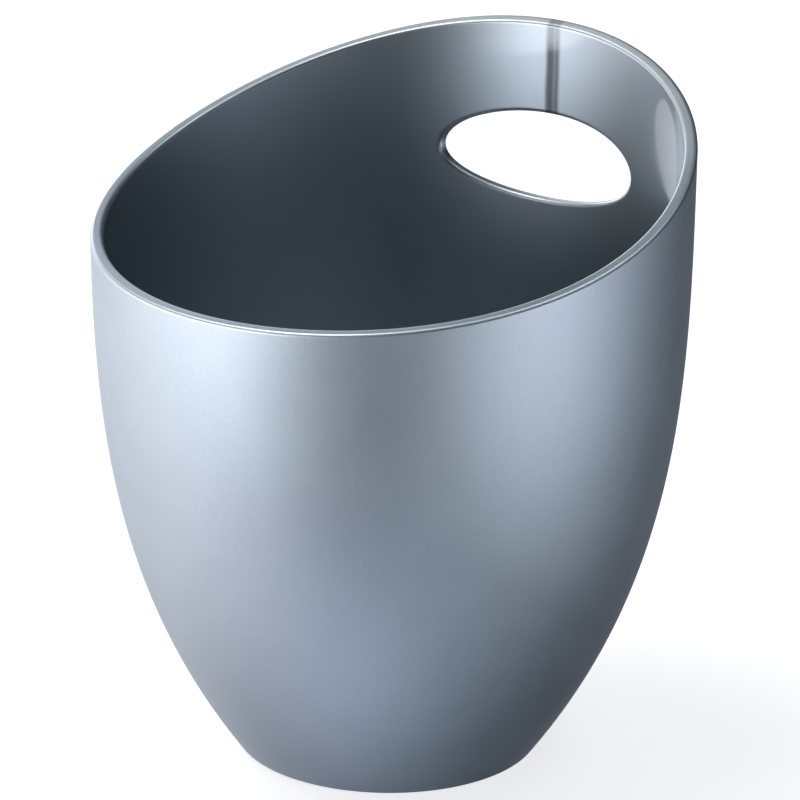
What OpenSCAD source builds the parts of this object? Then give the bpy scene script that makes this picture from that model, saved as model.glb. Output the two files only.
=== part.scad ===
// Silver champagne bucket: one moulded plastic shell on four pressed-in non-slip feet.
// +Z is up and the origin is the centre of the plane that the feet rest on.
// +Y is the high side, which carries the hand hole.

/* [Bucket wall] */
// Outer diameter of the bucket at the rim
rim_d = 220; // [200:1:240]
// Outer diameter of the underside
base_d = 114; // [100:1:130]
// Thickness of the moulded wall
wall_t = 4.9; // [3:0.1:6]
// Height at which the bulging lower wall has become straight
belly_h = 224; // [200:1:240]
// How full the bulge is: 2 is a plain parabola, more is fuller low down
belly_power = 3.1; // [2:0.1:4]
// How much the rim's radius grows over the full height, so that the moulding leaves its die
draft = 0.4; // [0:0.1:2]

/* [Slanted rim] */
// Height of the rim at the low front
rim_front_h = 192; // [180:1:200]
// Height of the rim at the high back
rim_back_h = 258; // [250:1:270]
// Depth of the rim's arc below a straight line from front to back
rim_sag = 10; // [4:1:16]

/* [Hand hole] */
// Width of the oval hole
hole_w = 86; // [76:1:96]
// Height of the oval hole
hole_h = 34; // [26:1:40]
// Height of the oval hole's centre above the underside
hole_z = 203.5; // [195:0.5:210]

/* [Underside] */
// Thickness of the bucket's floor
floor_t = 4.9; // [4:0.1:6]
// Depth of the hollow inside the foot ring
hollow_t = 2; // [1.5:0.1:3]
// Diameter of the hollow inside the foot ring
hollow_d = 76; // [60:1:80]
// Rounding between the wall and the floor inside
floor_round = 12; // [6:1:16]
// Rounding of the outer edge that the wall and the underside share
base_round = 1.2; // [0.8:0.1:2]
// Diameter of the shallow dimple round the gate mark
gate_d = 10; // [8:1:14]
// Diameter of the gate mark left by the moulding
gate_mark_d = 2.4; // [1.5:0.1:4]

/* [Non-slip feet] */
// Diameter of a foot's head
foot_d = 12; // [9:0.5:13]
// How far a foot stands out of the underside
foot_proud = 0.8; // [0.5:0.1:1.5]
// Depth of the seat that a foot's head sits in
seat_t = 1.2; // [0.8:0.1:1.6]
// Diameter of a foot's stem
stem_d = 4; // [3:0.1:5]
// Length of a foot's stem
stem_l = 3; // [2:0.1:3]
// Distance from the bucket's axis to a foot's centre
foot_circle_r = 47; // [45:0.5:48]

/* [Hidden] */

$fn = 128;
wall_steps = 32; // straight steps along the bulging wall
round_steps = 8; // straight steps round a rounded edge
hole_sides = 96; // sides of the oval hole's outline
bisect_turns = 24; // halvings that find where a rounding meets the wall
spare = 10; // how far a cutting shape runs past what it cuts
seat_gap = 0.1; // gap round a foot's head and past the end of its stem
stem_gap = 0.03; // gap round a foot's stem
foot_edge = 0.5; // chamfer round a foot's lower edge
gate_dimple_t = 0.5; // depth of the dimple round the gate mark
gate_mark_h = 0.4; // height of the gate mark inside its dimple

rim_r = rim_d / 2;
base_r = base_d / 2;
bulge = rim_r - draft - base_r;
floor_z = hollow_t + floor_t;
blank_h = rim_back_h + spare;
hole_angles = [0 : 360 / hole_sides : 359];

// Radius of the outer wall at a height, how fast it grows there, and the length of that slope
function wall_r(z) =
    rim_r - draft * (1 - z / rim_back_h) - bulge * pow(max(0, 1 - z / belly_h), belly_power);
function wall_slope(z) =
    draft / rim_back_h
    + bulge * belly_power / belly_h * pow(max(0, 1 - z / belly_h), belly_power - 1);
function slope_length(z) = sqrt(1 + pow(wall_slope(z), 2));

// A point at the depth d under the outer wall, square to it, that starts from the height z
function under_wall(z, d) = [
    wall_r(z) - d / slope_length(z),
    z + d * wall_slope(z) / slope_length(z)
];

// The height on the outer wall whose point at the depth d is at the level h
function level(d, h, low = -20, high = 60, turns = bisect_turns) =
    turns == 0 ? (low + high) / 2
    : under_wall((low + high) / 2, d)[1] > h
        ? level(d, h, low, (low + high) / 2, turns - 1)
        : level(d, h, (low + high) / 2, high, turns - 1);

// Half the outline of a cup at the depth d under the wall, with its floor at the level h,
// a rounding between the two, and its top at the given height
function cup(d, h, rounding, top) =
    let (
        start = level(d + rounding, h + rounding),
        centre = under_wall(start, d + rounding),
        last = -atan(wall_slope(start))
    )
    concat(
        [[0, h]],
        [for (i = [0 : round_steps])
            let (a = -90 + (last + 90) * i / round_steps)
            centre + rounding * [cos(a), sin(a)]],
        [for (i = [1 : wall_steps])
            let (z = start + (belly_h - start) * i / wall_steps)
            under_wall(z, d)],
        [[under_wall(top, d)[0], top], [0, top]]
    );

// The rim's arc passes through its front, its middle and its back, seen from the side
rim_mid_h = (rim_front_h + rim_back_h) / 2 - rim_sag;
rim_arc_z = (2 * pow(rim_r, 2) + pow(rim_back_h, 2) + pow(rim_front_h, 2) - 2 * pow(rim_mid_h, 2))
    / (4 * rim_sag);
rim_arc_y = (pow(rim_r, 2) + pow(rim_back_h, 2) - pow(rim_mid_h, 2)
    - 2 * (rim_back_h - rim_mid_h) * rim_arc_z) / (2 * rim_r);
rim_arc_r = sqrt(pow(rim_arc_y, 2) + pow(rim_arc_z - rim_mid_h, 2));

// The roller that cuts the slanted rim, lying across the bucket
module rim_cut() {
    translate([0, rim_arc_y, rim_arc_z])
        rotate([0, 90, 0])
            cylinder(h = rim_d + 2 * spare, r = rim_arc_r, center = true, $fn = 360);
}

// The oval punch that goes straight through the high side
module hand_hole_cut() {
    translate([0, rim_r + spare, hole_z])
        rotate([90, 0, 0])
            linear_extrude(rim_r)
                polygon([for (a = hole_angles) [hole_w / 2 * cos(a), hole_h / 2 * sin(a)]]);
}

// Copies its children to the four foot places, or to one of them
module at_feet(places = [0 : 3]) {
    for (i = places)
        rotate([0, 0, 90 * i - 45])
            translate([foot_circle_r, 0, 0])
                children();
}

// The seat and the blind socket for one foot
module foot_seat_cut() {
    translate([0, 0, -spare])
        cylinder(h = spare + seat_t, d = foot_d + 2 * seat_gap);
    cylinder(h = seat_t + stem_l + seat_gap, d = stem_d + 2 * stem_gap, $fn = 48);
}

// The hollow inside the foot ring, with a dimple round the gate mark
module underside_cut() {
    translate([0, 0, -spare])
        cylinder(h = spare + hollow_t, d = hollow_d);
    difference() {
        cylinder(h = hollow_t + gate_dimple_t, d = gate_d, $fn = 64);
        translate([0, 0, hollow_t + gate_dimple_t - gate_mark_h])
            cylinder(h = gate_mark_h + spare, d = gate_mark_d, $fn = 32);
    }
}

// The moulded shell: wall, floor, foot ring and hand hole in one piece
module bucket_shell() {
    color([0.66, 0.69, 0.74])
        translate([0, 0, foot_proud])
            difference() {
                rotate_extrude() polygon(cup(0, 0, base_round, blank_h));
                rotate_extrude() polygon(cup(wall_t, floor_z, floor_round, blank_h + spare));
                rim_cut();
                hand_hole_cut();
                underside_cut();
                at_feet() foot_seat_cut();
            }
}

// One rubber foot: a flat head with a chamfered lower edge, and a stem
module foot(place) {
    head_r = foot_d / 2;
    head_top = foot_proud + seat_t;
    stem_top = head_top + stem_l;
    color([0.16, 0.17, 0.18])
        at_feet([place])
            rotate_extrude()
                polygon([
                    [0, 0],
                    [head_r - foot_edge, 0],
                    [head_r, foot_edge],
                    [head_r, head_top],
                    [stem_d / 2, head_top],
                    [stem_d / 2, stem_top],
                    [0, stem_top]
                ]);
}

bucket_shell();
foot(0);  // foot_front_right
foot(1);  // foot_back_right
foot(2);  // foot_back_left
foot(3);  // foot_front_left
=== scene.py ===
"""Silver champagne bucket: the finished look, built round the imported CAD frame.

Lengths are in metres in the frame's own axes: +Z up, +Y towards the high side with the hand
hole, and the feet on the plane z = 0. Angles round the bucket start at +Y and grow towards +X.
"""
import math

import bpy
import numpy as np
from bpy.props import FloatProperty, FloatVectorProperty, IntProperty, PointerProperty
from mathutils import Matrix, Vector


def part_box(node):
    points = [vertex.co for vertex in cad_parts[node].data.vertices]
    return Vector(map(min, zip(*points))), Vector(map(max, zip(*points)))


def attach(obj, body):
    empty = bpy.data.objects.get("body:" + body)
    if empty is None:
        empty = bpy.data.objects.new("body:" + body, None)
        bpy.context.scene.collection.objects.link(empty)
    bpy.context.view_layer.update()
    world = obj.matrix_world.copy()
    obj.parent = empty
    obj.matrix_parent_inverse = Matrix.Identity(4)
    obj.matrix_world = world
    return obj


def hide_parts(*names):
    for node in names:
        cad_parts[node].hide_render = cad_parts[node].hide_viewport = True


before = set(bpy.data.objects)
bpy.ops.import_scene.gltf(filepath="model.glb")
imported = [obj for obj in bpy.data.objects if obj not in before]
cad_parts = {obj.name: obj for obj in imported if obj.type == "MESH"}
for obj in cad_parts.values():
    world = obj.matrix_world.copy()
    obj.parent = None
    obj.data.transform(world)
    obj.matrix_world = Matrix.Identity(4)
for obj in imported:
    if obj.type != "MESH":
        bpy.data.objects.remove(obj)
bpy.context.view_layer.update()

bl_info = {
    "name": "Champagne Bucket",
    "version": (1, 0, 0),
    "blender": (4, 5, 0),
    "location": "3D View > Sidebar > Bucket",
    "description": "Builds a silver champagne bucket with its feet and a studio stage",
    "category": "Add Mesh",
}

MM = 0.001

SHELL_NODE = "bucket_shell"
FOOT_NODES = ("foot_front_right", "foot_back_right", "foot_back_left", "foot_front_left")
SHELL_LOW, SHELL_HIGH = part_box(SHELL_NODE)
FOOT_LOW, FOOT_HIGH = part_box(FOOT_NODES[0])


# ---------------------------------------------------------------------------------------------
# Settings that a user may change
# ---------------------------------------------------------------------------------------------
def length(name, description, default, low, high):
    """A length property in metres."""
    return FloatProperty(
        name=name, description=description, default=default, min=low, max=high,
        unit="LENGTH", subtype="DISTANCE", precision=4,
    )


class BucketShellSettings(bpy.types.PropertyGroup):
    """Sizes of the moulded shell"""

    rim_radius: length("Rim radius", "Outer radius at the top of the wall",
                       SHELL_HIGH.y, 0.09, 0.13)
    base_radius: length("Base radius", "Outer radius of the underside", 57 * MM, 0.05, 0.065)
    wall: length("Wall", "Thickness of the moulded wall", 4.9 * MM, 0.003, 0.006)
    belly_height: length("Belly height", "Height at which the wall has become straight",
                         224 * MM, 0.2, 0.24)
    belly_power: FloatProperty(
        name="Belly power", description="How full the bulge is: more is fuller low down",
        default=3.1, min=2.0, max=4.0,
    )
    draft: length("Draft", "How much the radius grows over the full height", 0.4 * MM, 0.0, 0.002)
    rim_front: length("Front rim height", "Height of the rim at the low front",
                      192 * MM, 0.18, 0.2)
    rim_sag: length("Rim sag", "Depth of the rim's arc below a straight line",
                    10 * MM, 0.004, 0.016)
    rim_round: length("Rim rounding", "Radius of the rim's two rounded edges",
                      1.5 * MM, 0.0005, 0.0022)
    hole_width: length("Hand hole width", "Width of the oval hole", 86 * MM, 0.076, 0.096)
    hole_height: length("Hand hole height", "Height of the oval hole", 34 * MM, 0.026, 0.04)
    hole_centre: length("Hand hole centre", "Height of the hole above the underside",
                        203.5 * MM, 0.195, 0.21)
    hole_round: length("Hand hole rounding", "Radius of the hole's two rounded edges",
                       1.6 * MM, 0.0005, 0.0022)
    floor: length("Floor", "Thickness of the bucket's floor", 4.9 * MM, 0.004, 0.006)
    floor_round: length("Floor rounding", "Rounding between the wall and the floor inside",
                        12 * MM, 0.006, 0.016)
    base_round: length("Base rounding", "Rounding between the wall and the underside",
                       1.2 * MM, 0.0008, 0.002)
    hollow_radius: length("Hollow radius", "Radius of the hollow inside the foot ring",
                          38 * MM, 0.03, 0.04)
    hollow_depth: length("Hollow depth", "Depth of the hollow inside the foot ring",
                         2 * MM, 0.0015, 0.003)


class BucketFootSettings(bpy.types.PropertyGroup):
    """Sizes of the non-slip feet"""

    head_radius: length("Head radius", "Radius of a foot's head",
                        (FOOT_HIGH.x - FOOT_LOW.x) / 2, 0.0045, 0.0065)
    proud: length("Proud", "How far a foot stands out of the underside",
                  SHELL_LOW.z, 0.0005, 0.0015)
    seat: length("Seat depth", "Depth of the seat that the head sits in",
                 1.2 * MM, 0.0008, 0.0016)
    stem_radius: length("Stem radius", "Radius of the stem", 2 * MM, 0.0015, 0.0025)
    edge_round: length("Edge rounding", "Rounding of the lower edge", 0.5 * MM, 0.0002, 0.0006)


def colour(name, description, default):
    """A linear colour property without alpha."""
    return FloatVectorProperty(
        name=name, description=description, default=default, size=3,
        subtype="COLOR", min=0.0, max=1.0,
    )


class BucketFinishSettings(bpy.types.PropertyGroup):
    """Colours and gloss of the two plastics"""

    silver: colour("Silver plastic", "Colour of the metallic-flake plastic", (0.475, 0.56, 0.615))
    # The inside colour is the same silver plastic made darker: painted shade of the bucket's
    # interior.
    inside: colour("Inside", "Colour of the deeper plastic inside", (0.375, 0.45, 0.50))
    rubber: colour("Foot rubber", "Colour of the feet", (0.035, 0.037, 0.04))
    satin_roughness: FloatProperty(
        name="Satin roughness", description="Roughness of the textured outside",
        default=0.45, min=0.1, max=1.0, subtype="FACTOR",
    )
    polished_roughness: FloatProperty(
        name="Polished roughness", description="Roughness of the flake under the polished skin",
        default=0.44, min=0.1, max=1.0, subtype="FACTOR",
    )
    skin_roughness: FloatProperty(
        name="Skin roughness", description="Roughness of the clear polished skin itself",
        default=0.06, min=0.0, max=1.0, subtype="FACTOR",
    )


class BucketMeshSettings(bpy.types.PropertyGroup):
    """How finely the meshes are divided"""

    columns: IntProperty(
        name="Columns", description="Divisions round the bucket, a multiple of 8",
        default=288, min=96, max=576, step=8,
    )
    foot_columns: IntProperty(
        name="Foot columns", description="Divisions round a foot", default=64, min=16, max=128,
    )


# ---------------------------------------------------------------------------------------------
# The bucket's shape
# ---------------------------------------------------------------------------------------------
class BucketShape:
    """The shell's surfaces as functions. Heights are above the underside of the shell."""

    INNER_STARTS = 1200
    START_BELOW, START_ABOVE = 30 * MM, 10 * MM
    LEVEL_LOW, LEVEL_HIGH = -20 * MM, 60 * MM
    HALVINGS = 40

    def __init__(self, s):
        self.s = s
        self.rim_back = SHELL_HIGH.z - SHELL_LOW.z
        self.bulge = s.rim_radius - s.draft - s.base_radius
        mid = (s.rim_front + self.rim_back) / 2 - s.rim_sag
        squares = 2 * s.rim_radius**2 + self.rim_back**2 + s.rim_front**2 - 2 * mid**2
        self.arc_z = squares / (4 * s.rim_sag)
        run = s.rim_radius**2 + self.rim_back**2 - mid**2
        self.arc_y = (run - 2 * (self.rim_back - mid) * self.arc_z) / (2 * s.rim_radius)
        self.arc_radius = math.hypot(self.arc_y, self.arc_z - mid)
        starts = np.linspace(-self.START_BELOW, self.rim_back + self.START_ABOVE,
                             self.INNER_STARTS)
        self.inner_r, self.inner_z = self.under_wall(starts, s.wall)
        self.floor_top = s.hollow_depth + s.floor

    def left(self, z):
        """Share of the bulging part of the wall that is left above a height."""
        return np.maximum(0.0, 1 - np.asarray(z, float) / self.s.belly_height)

    def outer(self, z):
        """Outer radius at a height."""
        s = self.s
        straight = s.rim_radius - s.draft * (1 - np.asarray(z, float) / self.rim_back)
        return straight - self.bulge * self.left(z) ** s.belly_power

    def slope(self, z):
        """How fast the outer radius grows with height."""
        s = self.s
        steep = self.bulge * s.belly_power / s.belly_height
        return s.draft / self.rim_back + steep * self.left(z) ** (s.belly_power - 1)

    def under_wall(self, z, depth):
        """Radius and height of the point at a depth square under the wall."""
        run = np.hypot(1, self.slope(z))
        return self.outer(z) - depth / run, z + depth * self.slope(z) / run

    def inner(self, z):
        """Inner radius at a height."""
        return np.interp(z, self.inner_z, self.inner_r)

    def rim(self, y):
        """Height of the slanted rim's cut above a place from front to back."""
        return self.arc_z - np.sqrt(self.arc_radius**2 - (y - self.arc_y) ** 2)

    def rim_slope(self, y):
        """How steeply the rim's cut rises from front to back."""
        return (y - self.arc_y) / np.sqrt(self.arc_radius**2 - (y - self.arc_y) ** 2)

    def level(self, depth, height):
        """Height on the outer wall whose point at a depth lies at the given height."""
        low, high = self.LEVEL_LOW, self.LEVEL_HIGH
        for _ in range(self.HALVINGS):
            middle = (low + high) / 2
            if self.under_wall(middle, depth)[1] > height:
                high = middle
            else:
                low = middle
        return (low + high) / 2


def arc(centre, radius, first, last, steps):
    """Points (radius, height) along an arc, angles in radians from the outward direction."""
    angles = np.linspace(first, last, steps + 1)
    return [(centre[0] + radius * math.cos(a), centre[1] + radius * math.sin(a)) for a in angles]


def round_corner(start, corner, end, steps):
    """Points of a circular rounding between two tangent points, as arrays of (..., axes)."""
    one, two = start - corner, end - corner
    lengths = np.linalg.norm(one, axis=-1) * np.linalg.norm(two, axis=-1)
    cosine = np.clip((one * two).sum(-1) / lengths, -1, 1)
    weight = np.sqrt((1 - cosine) / 2)[..., None]
    points = []
    for t in np.linspace(0, 1, steps + 1):
        a, b, c = (1 - t) ** 2, 2 * t * (1 - t) * weight, t * t
        points.append((a * start + b * corner + c * end) / (a + b + c))
    return points


# ---------------------------------------------------------------------------------------------
# Mesh building
# ---------------------------------------------------------------------------------------------
class MeshMaker:
    """Collects vertices with their gloss, and faces."""

    def __init__(self):
        self.points = []
        self.gloss = []
        self.faces = []

    def add(self, xyz, gloss):
        """Adds rows of points and returns their numbers in the same layout."""
        xyz = np.asarray(xyz, float)
        first = len(self.points)
        flat = xyz.reshape(-1, 3)
        self.points.extend(map(tuple, flat))
        self.gloss.extend(np.broadcast_to(gloss, xyz.shape[:-1]).ravel().tolist())
        return first + np.arange(len(flat)).reshape(xyz.shape[:-1])

    def band(self, low, high):
        """Quads between two closed rings of equal length."""
        ahead_low, ahead_high = np.roll(low, -1), np.roll(high, -1)
        self.faces.extend(zip(low.tolist(), ahead_low.tolist(), ahead_high.tolist(),
                              high.tolist()))

    def fan(self, centre, ring, gloss=0.0):
        """Triangles from a new point to a closed ring."""
        middle = int(self.add([centre], gloss)[0])
        ahead = np.roll(ring, -1)
        self.faces.extend((middle, a, b) for a, b in zip(ring.tolist(), ahead.tolist()))

    def make(self, name, material):
        """Makes the object, shaded smooth, from the points that its faces use."""
        corners = np.concatenate([np.asarray(face) for face in self.faces])
        used = np.zeros(len(self.points), bool)
        used[corners] = True
        number = (np.cumsum(used) - 1).tolist()
        faces = [[number[corner] for corner in face] for face in self.faces]
        mesh = bpy.data.meshes.new(name)
        mesh.from_pydata(np.asarray(self.points)[used].tolist(), [], faces)
        mesh.validate()
        mesh.polygons.foreach_set("use_smooth", [True] * len(mesh.polygons))
        gloss = mesh.attributes.new("gloss", "FLOAT", "POINT")
        gloss.data.foreach_set("value", np.asarray(self.gloss, np.float32)[used])
        mesh.materials.append(material)
        made = bpy.data.objects.new(name, mesh)
        bpy.context.scene.collection.objects.link(made)
        return made


def polar(angles, radius, height):
    """Points round the bucket's axis, raised from the underside to the frame's heights."""
    radius = np.broadcast_to(radius, angles.shape)
    height = np.broadcast_to(height, angles.shape)
    return np.stack([radius * np.sin(angles), radius * np.cos(angles),
                     height + SHELL_LOW.z], axis=-1)


def border(rows, first, last):
    """The closed loop of vertices round a block of rows, from its top row's first column."""
    sides = [rows[0][first:last], [row[last] for row in rows[:-1]],
             rows[-1][last:first:-1], [row[first] for row in rows[:0:-1]]]
    return np.concatenate([np.asarray(side, int) for side in sides])


class ShellMaker(MeshMaker):
    """Builds the shell as one closed skin: up the inside, over the rim and down the outside."""

    CORNER_STEPS, FLOOR_STEPS, RIM_PASSES = 9, 12, 6
    EDGE_GLOSS = 0.6
    LOWER_ROWS = 40
    UPPER_ROWS = 40
    STRAIGHT_FROM = 150 * MM
    SUPPORT = 0.35 * MM
    PATCH_ROWS = (9, 32)
    PATCH_SHARE = 26 / 288
    PATCH_RINGS = (0.03, 0.09, 0.18, 0.3, 0.45, 0.63, 0.82)
    EDGE = 0.3 * MM
    GATE_RADIUS, GATE_DEPTH = 5 * MM, 0.5 * MM
    MARK_RADIUS, MARK_HEIGHT = 1.2 * MM, 0.4 * MM
    SEAT_GAP, SOCKET_GAP, SOCKET_DEPTH = 0.1 * MM, 0.03 * MM, 3.1 * MM
    SEAT_REACH = 11.25 / 360
    SEAT_TURNS = tuple(math.pi * k / 4 for k in (3, 1, -1, -3))
    RING_ROWS = 9
    SEAT_CIRCLE = math.hypot((FOOT_LOW.x + FOOT_HIGH.x) / 2, (FOOT_LOW.y + FOOT_HIGH.y) / 2)

    def __init__(self, shape, feet, columns):
        super().__init__()
        self.shape, self.s, self.feet = shape, shape.s, feet
        self.columns = columns
        self.angles = -math.pi + 2 * math.pi * np.arange(columns) / columns
        self.half_patch = round(self.PATCH_SHARE * columns)
        middle = columns // 2
        self.patch = (middle - self.half_patch, middle + self.half_patch)
        self.last = None

    def row(self, radius, height, gloss=0.0, gaps=()):
        """Adds a ring and the quads from the ring before it, leaving gaps between columns."""
        ring = self.add(polar(self.angles, radius, height), gloss)
        if self.last is not None:
            kept = np.ones(self.columns, bool)
            for first, end in gaps:
                kept[np.arange(first, end) % self.columns] = False
            low, high = self.last, ring
            quads = np.stack([low, np.roll(low, -1), np.roll(high, -1), high], axis=1)
            self.faces.extend(map(tuple, quads[kept].tolist()))
        self.last = ring
        return ring

    def build(self):
        """Lays the whole skin, from the middle of the inside floor to the gate mark."""
        self.inside_floor()
        inner = self.wall_rows(inside=True)
        self.rim_rows()
        outer = self.wall_rows(inside=False)
        self.hand_hole(outer, inner[::-1])
        self.underside()

    def inside_floor(self):
        """The floor inside and its rounding into the wall."""
        s, shape = self.s, self.shape
        top = shape.floor_top
        start = shape.level(s.wall + s.floor_round, top + s.floor_round)
        centre = shape.under_wall(start, s.wall + s.floor_round)
        first = self.row(centre[0] * 0.08, top, 1.0)
        self.fan([0, 0, top + SHELL_LOW.z], first[::-1], 1.0)
        for share in (0.25, 0.45, 0.65, 0.82, 0.94, 0.99):
            self.row(centre[0] * share, top, 1.0)
        end = -math.atan(shape.slope(start))
        for radius, height in arc(centre, s.floor_round, -math.pi / 2, end, self.FLOOR_STEPS):
            self.row(radius, height, 1.0)
        self.inside_from = height

    def rim_corner(self, inside):
        """The rim's sharp corner and the tangent points of its rounding, as (radius, height)."""
        s, shape = self.s, self.shape
        cosine = np.cos(self.angles)
        height = shape.rim(s.rim_radius * cosine)
        for _ in range(self.RIM_PASSES):
            radius = shape.inner(height) if inside else shape.outer(height)
            height = shape.rim(radius * cosine)
        corner = np.stack([radius, height], axis=-1)
        slope = shape.slope(height)
        down = np.stack([-slope, -np.ones_like(slope)], axis=-1)
        down /= np.linalg.norm(down, axis=-1)[:, None]
        rise = shape.rim_slope(radius * cosine) * cosine
        across = np.stack([np.ones_like(rise), rise], axis=-1)
        across /= np.linalg.norm(across, axis=-1)[:, None]
        across *= 1 if inside else -1
        angle = np.arccos(np.clip((down * across).sum(-1), -1, 1))
        run = (s.rim_round / np.tan(angle / 2))[:, None]
        return corner + down * run, corner, corner + across * run

    def wall_rows(self, inside):
        """The rows of one face of the wall. Returns those of its straight part."""
        s, shape = self.s, self.shape
        radius_at = shape.inner if inside else shape.outer
        gloss = 1.0 if inside else 0.0
        low = self.inside_from if inside else self.base_start()[1]
        top = self.rim_corner(inside)[0][:, 1]
        lower = np.linspace(low, self.STRAIGHT_FROM, self.LOWER_ROWS + 1)
        lower = np.insert(lower[1:-1], 0, low + self.SUPPORT)
        upper = [self.STRAIGHT_FROM + (top - self.SUPPORT - self.STRAIGHT_FROM) * k
                 for k in np.linspace(0, 1, self.UPPER_ROWS + 1)]
        heights = [np.full(self.columns, z) for z in lower] + upper
        marks = list(range(-len(lower), 0)) + list(range(self.UPPER_ROWS + 1))
        if not inside:
            heights.reverse()
            marks.reverse()
        straight = []
        first, last = self.PATCH_ROWS
        for mark, height in zip(marks, heights):
            within = first < mark <= last if inside else first <= mark < last
            gaps = [self.patch] if within else []
            ring = self.row(radius_at(height), height, gloss, gaps)
            if first <= mark <= last:
                straight.append(ring)
        return straight

    def rim_rows(self):
        """Over the rim: the inner rounding, the flat band and the outer rounding."""
        inner, outer = self.rim_corner(True), self.rim_corner(False)
        cosine = np.cos(self.angles)
        steps, edge = self.CORNER_STEPS, self.EDGE_GLOSS
        for step, point in enumerate(round_corner(*inner, steps)):
            self.row(point[:, 0], point[:, 1], 1.0 - (1.0 - edge) * step / steps)
        for share in (0.2, 0.5, 0.8):
            radius = inner[2][:, 0] * (1 - share) + outer[2][:, 0] * share
            self.row(radius, self.shape.rim(radius * cosine), edge)
        for step, point in enumerate(round_corner(*outer, steps)[::-1]):
            self.row(point[:, 0], point[:, 1], edge * (1.0 - step / steps))

    def ellipse(self, turn, grow):
        """Points across and up the hand hole's outline, moved out square to it."""
        s = self.s
        half_w, half_h = s.hole_width / 2, s.hole_height / 2
        square = np.stack([np.cos(turn) / half_w, np.sin(turn) / half_h])
        square /= np.linalg.norm(square, axis=0)
        return (half_w * np.cos(turn) + grow * square[0],
                s.hole_centre + half_h * np.sin(turn) + grow * square[1])

    def face_rings(self, rows, inside):
        """The rings from a wall's gap to the hand hole, with the loop's turn round the hole."""
        s, shape = self.s, self.shape
        radius_at = shape.inner if inside else shape.outer
        edge = border(rows, *self.patch)
        points = np.array([self.points[i] for i in edge])
        angle = np.arctan2(points[:, 0], points[:, 1])
        height = points[:, 2] - SHELL_LOW.z
        reach = 2 * math.pi * self.half_patch / self.columns
        tall = (height.max() - height.min()) / 2
        if not inside:
            self.turn = np.arctan2((height - s.hole_centre) / tall, angle / reach)
        across, up = self.ellipse(self.turn, s.hole_round)
        start = np.stack([np.arcsin(across / radius_at(up)), up])
        end = np.stack([angle, height])
        rings = [edge]
        for share in self.PATCH_RINGS[::-1] + (0.0,):
            at = start + share * (end - start)
            rings.append(self.add(polar(at[0], radius_at(at[1]), at[1]), float(inside)))
        return rings

    def hand_hole(self, outer, inner):
        """The hand hole's rounded edges and its straight tunnel."""
        s, shape = self.s, self.shape
        chain = self.face_rings(outer, inside=False)
        back = self.face_rings(inner, inside=True)
        across, up = self.ellipse(self.turn, 0.0)
        inward = np.array([0.0, -s.hole_round, 0.0])
        corners = []
        for radius_at in (shape.outer, shape.inner):
            deep = np.sqrt(radius_at(up) ** 2 - across**2)
            corners.append(np.stack([across, deep, up + SHELL_LOW.z], axis=-1))
        flat = np.array([self.points[i] for i in chain[-1]])
        rounding = round_corner(flat, corners[0], corners[0] + inward, self.CORNER_STEPS)
        for step, ring in enumerate(rounding[1:], 1):
            chain.append(self.add(ring, self.EDGE_GLOSS * step / self.CORNER_STEPS))
        near, far = corners[0] + inward, corners[1] - inward
        for share in (0.15, 0.5, 0.85):
            chain.append(self.add(near * (1 - share) + far * share, self.EDGE_GLOSS))
        flat = np.array([self.points[i] for i in back[-1]])
        rounding = round_corner(far, corners[1], flat, self.CORNER_STEPS)
        for step, ring in enumerate(rounding[:-1]):
            share = step / self.CORNER_STEPS
            chain.append(self.add(ring, self.EDGE_GLOSS + (1.0 - self.EDGE_GLOSS) * share))
        chain.extend(back[::-1])
        for low, high in zip(chain, chain[1:]):
            self.band(low, high)

    def base_start(self):
        """Where the outer wall ends and the base rounding begins, and the rounding's centre."""
        s, shape = self.s, self.shape
        start = shape.level(s.base_round, s.base_round)
        centre = shape.under_wall(start, s.base_round)
        angle = -math.atan(shape.slope(start))
        point = arc(centre, s.base_round, angle, angle, 0)[0]
        return point[0], point[1], centre, angle

    def underside(self):
        """The base rounding, the foot ring with its seats, the hollow and the gate mark."""
        s = self.s
        _, _, centre, angle = self.base_start()
        for radius, height in arc(centre, s.base_round, angle, -math.pi / 2, self.CORNER_STEPS):
            self.row(radius, height)
        ring_out = centre[0] - self.SUPPORT
        ring_in = s.hollow_radius + self.EDGE + self.SUPPORT
        rows = []
        span = round(self.SEAT_REACH * self.columns)
        seats = [round((turn + math.pi) / (2 * math.pi) * self.columns)
                 for turn in self.SEAT_TURNS]
        gaps = [(c - span, c + span) for c in seats]
        for k, radius in enumerate(np.linspace(ring_out, ring_in, self.RING_ROWS)):
            rows.append(self.row(radius, 0.0, 0.0, gaps if k else ()))
        for seat in seats:
            self.foot_seat(rows, seat - span, seat + span)
        self.hollow()

    def foot_seat(self, rows, first, last):
        """One foot's seat and blind socket, sunk into the foot ring."""
        f = self.feet
        turned = [np.roll(row, self.columns // 2 - (first + last) // 2) for row in rows]
        middle, half = self.columns // 2, (last - first) // 2
        edge = border(turned, middle - half, middle + half)
        points = np.array([self.points[i] for i in edge])
        angle = self.angles[((first + last) // 2) % self.columns]
        centre = self.SEAT_CIRCLE * np.array([math.sin(angle), math.cos(angle)])
        turn = np.arctan2(points[:, 1] - centre[1], points[:, 0] - centre[0])

        def circle(radius, height):
            return np.stack([centre[0] + radius * np.cos(turn),
                             centre[1] + radius * np.sin(turn),
                             np.full(turn.shape, height + SHELL_LOW.z)], axis=-1)

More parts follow.
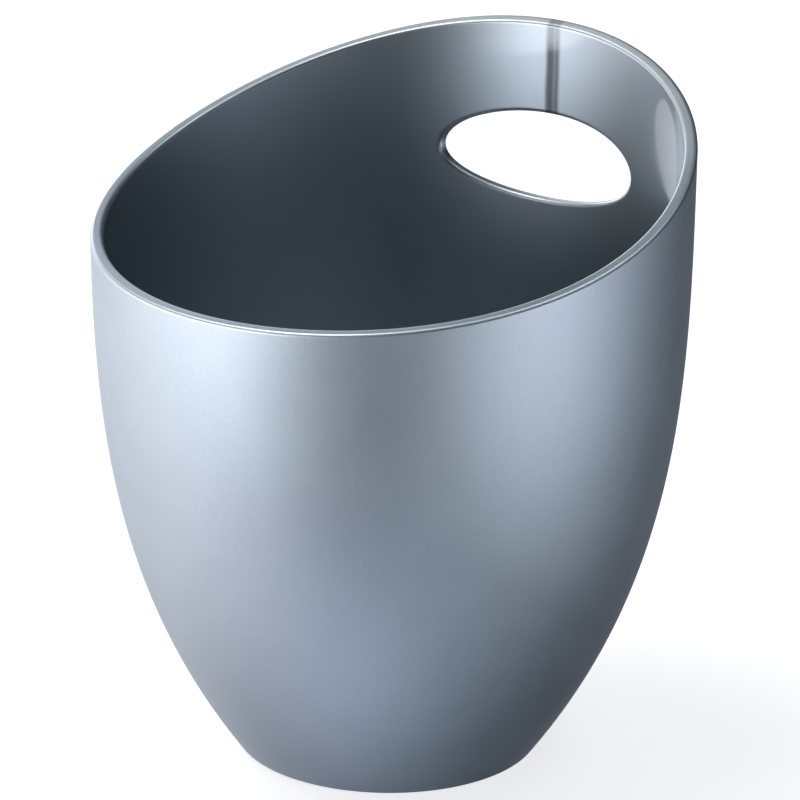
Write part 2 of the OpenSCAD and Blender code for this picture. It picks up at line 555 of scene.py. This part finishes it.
        seat = f.head_radius + self.SEAT_GAP
        rim = circle(seat + self.EDGE, 0.0)
        rings = [edge]
        for share in (0.6, 0.25, 0.06, 0.0):
            rings.append(self.add(rim + share * (points - rim), 0.0))
        socket = f.stem_radius + self.SOCKET_GAP
        profile = arc((seat + self.EDGE, self.EDGE), self.EDGE, -math.pi / 2, -math.pi, 3)[1:]
        profile += [(seat, f.seat), (seat - self.EDGE, f.seat), (socket + self.EDGE, f.seat),
                    (socket, f.seat + self.EDGE), (socket, f.seat + self.SOCKET_DEPTH)]
        for radius, height in profile:
            rings.append(self.add(circle(radius, height), 0.0))
        for low, high in zip(rings, rings[1:]):
            self.band(low, high)
        self.fan([*centre, f.seat + self.SOCKET_DEPTH + SHELL_LOW.z], rings[-1])

    def hollow(self):
        """The hollow inside the foot ring, down to the gate mark at its centre."""
        s, e = self.s, self.EDGE
        roof, dimple = s.hollow_depth, s.hollow_depth + self.GATE_DEPTH
        mark = dimple - self.MARK_HEIGHT
        quarter = math.pi / 2
        outline = arc((s.hollow_radius + e, e), e, -quarter, -2 * quarter, 4)
        outline += arc((s.hollow_radius - 2 * e, roof - 2 * e), 2 * e, 0, quarter, 4)
        outline += [(s.hollow_radius * share, roof) for share in (0.96, 0.7, 0.45, 0.25)]
        outline += arc((self.GATE_RADIUS + e, roof + e / 2), e / 2, -quarter, -2 * quarter, 3)
        outline += arc((self.GATE_RADIUS - e, dimple - e), e, 0, quarter, 3)
        outline += arc((self.MARK_RADIUS + e / 2, dimple - e / 2), e / 2, quarter, 2 * quarter, 3)
        outline += arc((self.MARK_RADIUS - e / 2, mark + e / 2), e / 2, 0, -quarter, 3)
        outline.append((self.MARK_RADIUS * 0.4, mark))
        for radius, height in outline:
            self.row(radius, height)
        self.fan([0, 0, mark + SHELL_LOW.z], self.last)


# ---------------------------------------------------------------------------------------------
# Finishes
# ---------------------------------------------------------------------------------------------
class Nodes:
    """A node tree with short calls for the nodes that the finishes and the world use."""

    def __init__(self, tree):
        self.tree = tree

    def node(self, kind, **settings):
        """A new node with the given settings."""
        made = self.tree.nodes.new(kind)
        for name, value in settings.items():
            setattr(made, name, value)
        return made

    def feed(self, socket, value):
        """Links an output to a socket, or sets the socket to a plain value."""
        if isinstance(value, bpy.types.NodeSocket):
            self.tree.links.new(value, socket)
        else:
            socket.default_value = value

    def math(self, operation, *values):
        """A value worked out from values."""
        made = self.node("ShaderNodeMath", operation=operation)
        for socket, value in zip(made.inputs, values):
            self.feed(socket, value)
        return made.outputs[0]

    def vector(self, operation, *values):
        """A direction or colour worked out from others, or the number a dot product gives."""
        made = self.node("ShaderNodeVectorMath", operation=operation)
        for socket, value in zip(made.inputs, values):
            self.feed(socket, value)
        return made.outputs["Value"] if operation == "DOT_PRODUCT" else made.outputs[0]

    def scale(self, tint, value):
        """A colour multiplied by a value."""
        made = self.node("ShaderNodeVectorMath", operation="SCALE")
        self.feed(made.inputs[0], tint)
        self.feed(made.inputs["Scale"], value)
        return made.outputs[0]

    def blend(self, share, low, high):
        """A colour between two colours."""
        made = self.node("ShaderNodeMix", data_type="RGBA")
        self.feed(made.inputs["Factor"], share)
        for socket, value in zip((made.inputs[6], made.inputs[7]), (low, high)):
            self.feed(socket, value if isinstance(value, bpy.types.NodeSocket) else (*value, 1))
        return made.outputs[2]


class Finish(Nodes):
    """A material's nodes round its one shader."""

    def __init__(self, name):
        self.material = bpy.data.materials.new(name)
        self.material.use_nodes = True
        super().__init__(self.material.node_tree)
        self.shader = self.tree.nodes["Principled BSDF"]
        self.place = self.node("ShaderNodeTexCoord").outputs["Object"]

    def set(self, name, value):
        """Links or sets one of the shader's own sockets."""
        self.feed(self.shader.inputs[name], value)

    def ramp(self, value, low, high, start=0.0, end=1.0, smooth=True):
        """A value mapped from one range to another."""
        made = self.node("ShaderNodeMapRange")
        made.interpolation_type = "SMOOTHSTEP" if smooth else "LINEAR"
        for socket, number in zip(made.inputs, (value, low, high, start, end)):
            self.feed(socket, number)
        return made.outputs[0]

    def noise(self, size, detail=2.0, roughness=0.5):
        """Soft noise whose blotches are about the given size across."""
        made = self.node("ShaderNodeTexNoise")
        self.feed(made.inputs["Vector"], self.place)
        self.feed(made.inputs["Scale"], 1.0 / size)
        self.feed(made.inputs["Detail"], detail)
        self.feed(made.inputs["Roughness"], roughness)
        return made.outputs["Fac"]

    def cells(self, size):
        """Small cells of random colour, such as metal flakes in a clear plastic."""
        made = self.node("ShaderNodeTexVoronoi")
        self.feed(made.inputs["Vector"], self.place)
        self.feed(made.inputs["Scale"], 1.0 / size)
        return made.outputs["Color"]

    def bump(self, height, distance, under=None):
        """A surface raised and sunk by a value, over another such surface."""
        made = self.node("ShaderNodeBump")
        self.feed(made.inputs["Strength"], 1.0)
        self.feed(made.inputs["Distance"], distance)
        self.feed(made.inputs["Height"], height)
        if under is not None:
            self.feed(made.inputs["Normal"], under)
        return made.outputs["Normal"]


# Sizes of the silver plastic's clouding, flakes, grain and waves, and how strongly they show.
CLOUD, FLAKE, GRAIN, WAVE = 30 * MM, 0.35 * MM, 0.4 * MM, 34 * MM
CLOUD_TONE, FLAKE_TONE, CLOUD_ROUGHNESS = 0.015, 0.05, 0.01
GRAIN_DEPTH, WAVE_DEPTH, POLISHED_GRAIN = 0.01 * MM, 0.04 * MM, 0.1
SKIN_IOR = 1.6

# The weld line: how dark and rough it is, its sway, and its streaks across the wall, each with
# its centre, half width, softness and strength. It fades in above the hand hole and thins out
# towards the rim, on the back wall only.
WELD_TONE, WELD_ROUGHNESS = 0.2, 0.1
WELD_SWAY_LENGTH, WELD_SWAY = 18 * MM, 0.4 * MM
WELD_STREAKS = (
    (2.0 * MM, 2.2 * MM, 1.8 * MM, 0.72),
    (1.0 * MM, 0.5 * MM, 1.4 * MM, 0.25),
    (3.8 * MM, 0.1 * MM, 0.8 * MM, 0.15),
)
WELD_START = (4 * MM, 1 * MM)
WELD_END, WELD_AT_RIM = (14 * MM, 6 * MM), 0.6
WELD_DEPTH = (40 * MM, 50 * MM)

# Sizes of the rubber's dust patches, clouding and grain, and how much paler the dust is.
DUST_PATCH, RUBBER_CLOUD, RUBBER_GRAIN = 1.6 * MM, 0.6 * MM, 0.25 * MM
DUST_TONE, RUBBER_GRAIN_DEPTH = 2.2, 0.02 * MM


def silver_plastic(settings):
    """Metallic-flake plastic: satin outside, polished inside, with a weld line over the hole. The
    inside is a darker copy of the silver: painted shade.
    """
    shell, finish = settings.shell, settings.finish
    f = Finish("flake_silver")
    gloss = f.node("ShaderNodeAttribute", attribute_name="gloss").outputs["Fac"]
    tint = tuple(finish.silver)
    cloud = f.noise(CLOUD, 3.0, 0.55)
    tone = f.blend(f.ramp(cloud, 0.35, 0.65), tuple(c * (1 - CLOUD_TONE) for c in tint),
                   tuple(min(1.0, c * (1 + CLOUD_TONE)) for c in tint))
    flake = f.node("ShaderNodeSeparateColor")
    f.feed(flake.inputs[0], f.cells(FLAKE))
    sparkle = f.ramp(flake.outputs[0], 0.0, 1.0, 1 - FLAKE_TONE, 1 + FLAKE_TONE, smooth=False)
    tone = f.scale(tone, sparkle)
    # Painted shade: the polished inside faces are blended to the darker inside colour.
    deep = f.ramp(gloss, ShellMaker.EDGE_GLOSS, 1.0)
    tone = f.blend(deep, tone, tuple(finish.inside))
    weld = weld_line(f, shell)
    f.set("Base Color", f.blend(weld, tone, tuple(c * WELD_TONE for c in tint)))
    f.set("Metallic", 1.0)
    skin = f.ramp(gloss, 0.0, ShellMaker.EDGE_GLOSS, smooth=False)
    rough = f.ramp(gloss, 0.0, 1.0, finish.satin_roughness, finish.polished_roughness)
    rough = f.math("ADD", rough, f.ramp(cloud, 0.3, 0.7, -CLOUD_ROUGHNESS, CLOUD_ROUGHNESS))
    f.set("Roughness", f.math("ADD", rough, f.math("MULTIPLY", weld, WELD_ROUGHNESS)))
    f.set("Coat Weight", skin)
    f.set("Coat Roughness", finish.skin_roughness)
    f.set("Coat IOR", SKIN_IOR)
    grain = f.noise(GRAIN, 2.0, 0.6)
    grain = f.math("MULTIPLY", grain, f.ramp(gloss, 0.0, 1.0, 1.0, POLISHED_GRAIN))
    wave = f.bump(f.noise(WAVE, 1.0, 0.4), WAVE_DEPTH)
    f.set("Normal", f.bump(grain, GRAIN_DEPTH, under=wave))
    f.set("Coat Normal", wave)
    return f.material


def weld_line(f, shell):
    """How strongly the weld line shows: a dark streak from the hand hole's top over the rim."""
    split = f.node("ShaderNodeSeparateXYZ")
    f.feed(split.inputs[0], f.place)
    across, depth, height = split.outputs
    sway = f.ramp(f.noise(WELD_SWAY_LENGTH), 0.0, 1.0, -WELD_SWAY, WELD_SWAY, smooth=False)
    across = f.math("ADD", across, sway)
    streak = None
    for centre, half, soft, strength in WELD_STREAKS:
        off = f.math("ABSOLUTE", f.math("SUBTRACT", across, centre))
        line = f.ramp(off, half, half + soft, strength, 0.0)
        streak = line if streak is None else f.math("ADD", streak, line)
    top = shell.hole_centre + shell.hole_height / 2 + SHELL_LOW.z
    above = f.ramp(height, *(top - gap for gap in WELD_START))
    fade = f.ramp(height, *(SHELL_HIGH.z - gap for gap in WELD_END), 1.0, WELD_AT_RIM)
    behind = f.ramp(depth, *WELD_DEPTH)
    for share in (above, fade, behind):
        streak = f.math("MULTIPLY", streak, share)
    return f.math("MINIMUM", streak, 1.0)


def foot_rubber(settings):
    """Matt dark rubber with a fine moulded grain and a little dust in it."""
    f = Finish("grained_rubber")
    tint = tuple(settings.finish.rubber)
    dusty = tuple(min(1.0, c * DUST_TONE) for c in tint)
    f.set("Base Color", f.blend(f.ramp(f.noise(DUST_PATCH, 4.0), 0.5, 0.8), tint, dusty))
    f.set("Roughness", f.ramp(f.noise(RUBBER_CLOUD), 0.3, 0.7, 0.62, 0.82))
    f.set("Specular IOR Level", 0.35)
    f.set("Normal", f.bump(f.noise(RUBBER_GRAIN, 2.0, 0.6), RUBBER_GRAIN_DEPTH))
    return f.material


class SkyNodes(Nodes):
    """The world's nodes, which turn a direction into light."""

    def __init__(self, tree):
        super().__init__(tree)
        place = self.node("ShaderNodeTexCoord").outputs["Generated"]
        split = self.node("ShaderNodeSeparateXYZ")
        self.feed(split.inputs[0], self.vector("NORMALIZE", place))
        self.elevation = self.math("ARCSINE", split.outputs[2])
        level = self.node("ShaderNodeCombineXYZ")
        for number in (0, 1):
            self.feed(level.inputs[number], split.outputs[number])
        self.level = self.vector("NORMALIZE", level.outputs[0])

    def glow(self, name, turn, elevation, narrow, half_height, strength, tint):
        """A soft light that fades smoothly across and up."""
        angle = BUCKET_OT_stage.VIEW_TURN + math.radians(turn)
        towards = (math.sin(angle), -math.cos(angle), 0.0)
        across = self.math("SUBTRACT", self.vector("DOT_PRODUCT", self.level, towards), 1.0)
        across = self.math("MULTIPLY", across, float(narrow))
        up = self.math("SUBTRACT", self.elevation, math.radians(elevation))
        up = self.math("DIVIDE", up, math.radians(half_height))
        up = self.math("MULTIPLY", up, up)
        fade = self.math("EXPONENT", self.math("SUBTRACT", across, up))
        light = self.scale([strength * c for c in tint], fade)
        light.node.label = name
        return light


# ---------------------------------------------------------------------------------------------
# Operators
# ---------------------------------------------------------------------------------------------
class BUCKET_OT_shell(bpy.types.Operator):
    """Build the moulded shell with its rounded rim and hand hole"""

    bl_idname = "bucket.shell"
    bl_label = "Bucket shell"

    def execute(self, context):
        settings = context.scene.champagne_bucket
        maker = ShellMaker(BucketShape(settings.shell), settings.feet, settings.mesh.columns)
        maker.build()
        shell = maker.make("moulded_shell", silver_plastic(settings))
        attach(shell, "root")
        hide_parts(SHELL_NODE)
        return {"FINISHED"}


class BUCKET_OT_feet(bpy.types.Operator):
    """Build the four rubber feet with rounded edges and a grip ring"""

    bl_idname = "bucket.feet"
    bl_label = "Non-slip feet"

    GROOVE_DEPTH, GROOVE_EDGE = 0.25 * MM, 0.04 * MM
    SOFT_EDGE = 0.15 * MM

    def outline(self, f, stem_top):
        """A foot's outline as (radius, height), from the centre of its lower face."""
        head, edge = f.head_radius, f.edge_round
        top = f.proud + f.seat
        soft = self.SOFT_EDGE
        deep, lip = self.GROOVE_DEPTH, self.GROOVE_EDGE
        points = [(head * 0.2, deep), (head * 0.26, deep)]
        points += [(head * 0.3, lip), (head * 0.34, 0), (head * 0.52, 0), (head * 0.56, lip)]
        points += [(head * 0.59, deep), (head * 0.65, deep), (head * 0.68, lip)]
        points.append((head * 0.72, 0))
        points += arc((head - edge, edge), edge, -math.pi / 2, 0, 5)
        points += arc((head - soft, top - soft), soft, 0, math.pi / 2, 3)
        points += [(f.stem_radius + soft, top), (f.stem_radius, top + soft)]
        points += arc((f.stem_radius - 2 * soft, stem_top - 2 * soft), 2 * soft,
                      0, math.pi / 2, 3)
        return points

    def execute(self, context):
        settings = context.scene.champagne_bucket
        rubber = foot_rubber(settings)
        count = settings.mesh.foot_columns
        turn = 2 * math.pi * np.arange(count) / count
        for node in FOOT_NODES:
            low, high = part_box(node)
            centre = (low + high) / 2
            maker = MeshMaker()
            rings = []
            for radius, height in self.outline(settings.feet, high.z):
                ring = np.stack([centre.x + radius * np.cos(turn),
                                 centre.y + radius * np.sin(turn),
                                 np.full(count, height)], axis=-1)
                rings.append(maker.add(ring, 0.0))
            for inner, outer in zip(rings, rings[1:]):
                maker.band(inner, outer)
            maker.fan([centre.x, centre.y, self.GROOVE_DEPTH], rings[0][::-1])
            maker.fan([centre.x, centre.y, high.z], rings[-1])
            foot = maker.make(node.replace("foot", "rubber_foot"), rubber)
            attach(foot, "root")
            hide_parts(node)
        return {"FINISHED"}


class BUCKET_OT_stage(bpy.types.Operator):
    """Set the floor, the soft lights, the world and the camera"""

    bl_idname = "bucket.stage"
    bl_label = "Studio stage"

    CAMERA_PLACE = (0.7358, -1.0810, 0.5824)
    CAMERA_AIM = (0.0029, 0.0020, 0.1341)
    CAMERA_ROLL = math.radians(0.62)
    CAMERA_LENS, CAMERA_SENSOR, CAMERA_NEAR = 168.0, 36.0, 0.05
    FLOOR_HALF = 4.0
    FLOOR_GLOW = 0.72
    FLOOR_TONES, FLOOR_CLOUD, FLOOR_ROUGHNESS = (0.50, 0.52), 0.4, 0.9
    BACKDROP = (1.0, 1.0, 1.0)
    VIEW_TURN = math.atan2(CAMERA_PLACE[0], -CAMERA_PLACE[1])
    # Each soft light: its turn in degrees from the camera towards the right, its elevation in
    # degrees, how narrow it is across, its half height in degrees, its strength and its tint.
    # The places and widths are chosen one by one. The strengths and tints are not: a separate
    # fitting program worked them out. A new stage should set them by hand.
    GLOWS = {
        "key on the left": (-60, 0, 16, 12, 6.8, (1.02, 1.0, 1.05)),
        "wide fill on the left": (-100, 0, 6, 12, 2.6, (1.15, 1.0, 0.96)),
        "key on the right": (50, -12, 8, 12, 2.4, (1.04, 1.0, 1.07)),
        "edge on the right": (80, -12, 8, 14, 0.76, (0.95, 1.0, 1.15)),
        "low behind": (-155, -8, 12, 12, 0.49, (0.84, 1.0, 1.17)),
        "behind": (-160, 15, 16, 12, 3.0, (0.97, 1.02, 1.2)),
        "high behind on the left": (-120, 50, 16, 22, 1.7, (1.11, 1.0, 0.85)),
        "table behind on the left": (-120, -25, 2, 22, 0.85, (1.00, 1.0, 1.08)),
        "table in front on the left": (-40, -60, 2, 22, 0.71, (1.00, 1.0, 1.20)),
        "table in front on the right": (20, -60, 2, 22, 0.32, (0.83, 1.0, 1.15)),
        "table on the left": (-90, -35, 4, 18, 0.31, (1.25, 1.0, 0.97)),
        "overhead on the left": (-90, 70, 6, 14, 8.8, (1.04, 1.0, 0.98)),
        "overhead on the right": (90, 70, 6, 14, 4.2, (0.91, 1.0, 1.09)),
    }

    def execute(self, context):
        self.camera(context)
        self.floor()
        self.world(context)
        context.scene.view_settings.view_transform = "Standard"
        return {"FINISHED"}

    def camera(self, context):
        """A long lens, high in front and a little to the right."""
        data = bpy.data.cameras.new("camera")
        data.sensor_width = self.CAMERA_SENSOR
        data.lens = self.CAMERA_LENS
        data.clip_start = self.CAMERA_NEAR
        camera = bpy.data.objects.new("camera", data)
        context.scene.collection.objects.link(camera)
        place, aim = Vector(self.CAMERA_PLACE), Vector(self.CAMERA_AIM)
        turn = (aim - place).to_track_quat("-Z", "Y").to_matrix().to_4x4()
        roll = Matrix.Rotation(self.CAMERA_ROLL, 4, "Z")
        camera.matrix_world = Matrix.Translation(place) @ turn @ roll
        context.scene.camera = camera

    def floor(self):
        """A pale floor that is clear from below, so that the underside can be looked at."""
        half = self.FLOOR_HALF
        mesh = bpy.data.meshes.new("floor")
        corners = [(-half, -half, 0), (half, -half, 0), (half, half, 0), (-half, half, 0)]
        mesh.from_pydata(corners, [], [(0, 1, 2, 3)])
        f = Finish("pale_floor")
        dark, light = ((tone,) * 3 for tone in self.FLOOR_TONES)
        f.set("Base Color", f.blend(f.noise(self.FLOOR_CLOUD, 3.0), dark, light))
        f.set("Roughness", self.FLOOR_ROUGHNESS)
        f.set("Emission Color", (1.0, 1.0, 1.0, 1.0))
        f.set("Emission Strength", self.FLOOR_GLOW)
        below = f.node("ShaderNodeNewGeometry").outputs["Backfacing"]
        f.set("Alpha", f.math("SUBTRACT", 1.0, below))
        mesh.materials.append(f.material)
        floor = bpy.data.objects.new("floor", mesh)
        bpy.context.scene.collection.objects.link(floor)
        floor.visible_glossy = False
        floor.visible_diffuse = False
        floor.visible_shadow = False

    def world(self, context):
        """Soft light from all round, as a sum of wide glows, behind a plain white backdrop."""
        world = bpy.data.worlds.new("studio")
        world.use_nodes = True
        f = SkyNodes(world.node_tree)
        total = None
        for name, glow in self.GLOWS.items():
            light = f.glow(name, *glow)
            total = light if total is None else f.vector("ADD", total, light)
        seen = f.node("ShaderNodeLightPath").outputs["Is Camera Ray"]
        background = world.node_tree.nodes["Background"]
        f.feed(background.inputs["Color"], f.blend(seen, total, self.BACKDROP))
        background.inputs["Strength"].default_value = 1.0
        context.scene.world = world


class BUCKET_PT_panel(bpy.types.Panel):
    """The bucket's pieces and settings"""

    bl_idname = "BUCKET_PT_panel"
    bl_label = "Champagne bucket"
    bl_space_type = "VIEW_3D"
    bl_region_type = "UI"
    bl_category = "Bucket"

    def draw(self, context):
        layout = self.layout
        settings = context.scene.champagne_bucket
        for operator in STEPS:
            layout.operator(operator.bl_idname, text=operator.bl_label)
        for title in ("shell", "feet", "finish", "mesh"):
            box = layout.box()
            box.label(text=title.capitalize())
            group = getattr(settings, title)
            for name in group.bl_rna.properties.keys():
                if name not in ("rna_type", "name"):
                    box.prop(group, name)


class BucketSettings(bpy.types.PropertyGroup):
    """All settings of the bucket"""

    shell: PointerProperty(type=BucketShellSettings)
    feet: PointerProperty(type=BucketFootSettings)
    finish: PointerProperty(type=BucketFinishSettings)
    mesh: PointerProperty(type=BucketMeshSettings)


STEPS = (BUCKET_OT_stage, BUCKET_OT_shell, BUCKET_OT_feet)
CLASSES = (BucketShellSettings, BucketFootSettings, BucketFinishSettings, BucketMeshSettings,
           BucketSettings, *STEPS, BUCKET_PT_panel)


def register():
    for cls in CLASSES:
        bpy.utils.register_class(cls)
    bpy.types.Scene.champagne_bucket = PointerProperty(type=BucketSettings)


def unregister():
    del bpy.types.Scene.champagne_bucket
    for cls in reversed(CLASSES):
        bpy.utils.unregister_class(cls)


def main():
    register()
    bpy.ops.bucket.stage()
    bpy.ops.bucket.shell()
    bpy.ops.bucket.feet()


if __name__ == "__main__":
    main()
